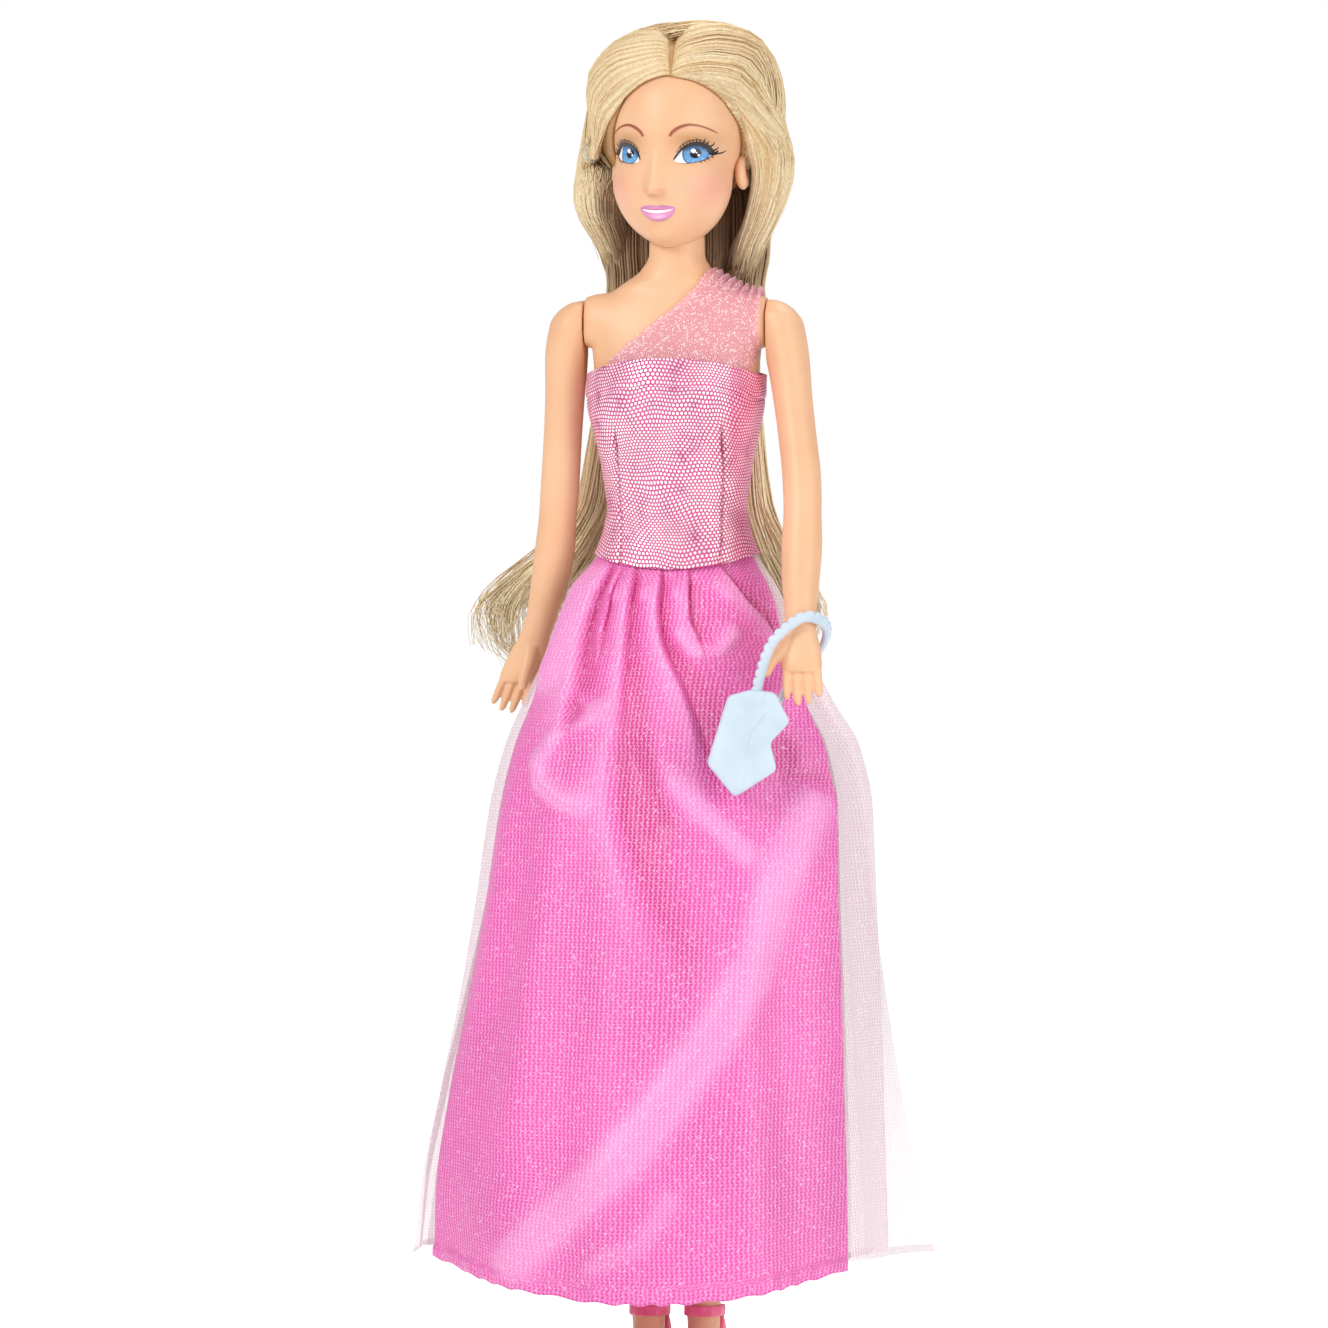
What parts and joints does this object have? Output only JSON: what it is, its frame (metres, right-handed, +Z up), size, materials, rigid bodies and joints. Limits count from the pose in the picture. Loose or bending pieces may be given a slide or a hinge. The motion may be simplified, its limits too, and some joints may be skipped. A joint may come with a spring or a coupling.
{
  "type": "fashion doll",
  "caption": "Slim standing fashion doll with long fair hair, in a strapless glitter bodice with a sheer shoulder drape, a long satin and tulle skirt, high heels and a small purse.",
  "frame": {"origin": "on the floor, below the middle of the whole box; the doll's own axis is 1.4 mm to its left and 1.8 mm in front of it", "axes": "+Z up, -Y the way the doll faces, +X the doll's left"},
  "size_m": [0.1097, 0.087, 0.2924],
  "materials": {
    "skin": "satin, slightly soft moulded vinyl",
    "vinyl": "satin soft vinyl with painted face",
    "inner": "plain moulded plastic",
    "axle": "plain drawn rod",
    "hair": "glossy golden fibre",
    "elastic": "clear",
    "foil": "cloth with a foil dot print",
    "fastener": "touch fastener",
    "drape": "sheer cloth with glitter",
    "satin": "satin under fine knitted mesh",
    "tulle": "sheer tulle",
    "overlay": "sheer tulle",
    "shoe": "soft moulded plastic",
    "purse": "moulded plastic with a pearl sheen"
  },
  "bodies": {
    "torso": {"torso_front": "skin", "torso_back": "skin", "neck_plug": "inner", "hair_fall": "hair", "bodice": "foil", "closure_hook_strip": "fastener", "closure_loop_strip": "fastener", "shoulder_drape": "drape", "skirt_front": "satin", "skirt_tulle": "tulle", "skirt_overlay": "overlay"},
    "head": {"head": "vinyl", "hair_crown": "hair", "hair_side_left": "hair", "hair_side_right": "hair", "hair_twist": "hair", "hair_elastic": "elastic"},
    "arm_left": {"arm_left": "skin"},
    "arm_right": {"arm_right": "skin"},
    "purse": {"purse": "purse"},
    "hips": {"hip_axle": "axle", "hip_cap_left": "inner", "hip_cap_right": "inner"},
    "leg_left": {"leg_left": "skin", "shoe_left": "shoe"},
    "leg_right": {"leg_right": "skin", "shoe_right": "shoe"}
  },
  "joints": [
    {"name": "head_turn", "type": "hinge", "parent": "torso", "child": "head", "pos_m": [0.0014, -0.0018, 0.266], "axis": [0, 0, 1], "range_deg": [-60, 38], "deforming": ["hair_fall"]},
    {"name": "shoulder_left", "type": "hinge", "parent": "torso", "child": "arm_left", "pos_m": [0.021, -0.0018, 0.2295], "axis": [-1, 0, 0], "range_deg": [0, 150]},
    {"name": "shoulder_right", "type": "hinge", "parent": "torso", "child": "arm_right", "pos_m": [-0.0182, -0.0018, 0.2295], "axis": [-1, 0, 0], "range_deg": [-8, 150]},
    {"name": "purse_swing", "type": "hinge", "parent": "arm_left", "child": "purse", "pos_m": [0.0305, -0.02096, 0.16684], "axis": [-1, 0, 0], "range_deg": [0, 12]},
    {"name": "legs_fold", "type": "hinge", "parent": "torso", "child": "hips", "pos_m": [0.0014, -0.0018, 0.15], "axis": [-1, 0, 0], "range_deg": [0, 43], "deforming": ["skirt_front", "skirt_tulle", "skirt_overlay"]},
    {"name": "hip_left", "type": "hinge", "parent": "hips", "child": "leg_left", "pos_m": [0.0114, -0.0018, 0.15], "axis": [-1, 0, 0], "range_deg": [-12, 13]},
    {"name": "hip_right", "type": "hinge", "parent": "hips", "child": "leg_right", "pos_m": [-0.0086, -0.0018, 0.15], "axis": [-1, 0, 0], "range_deg": [-12, 13]}
  ]
}
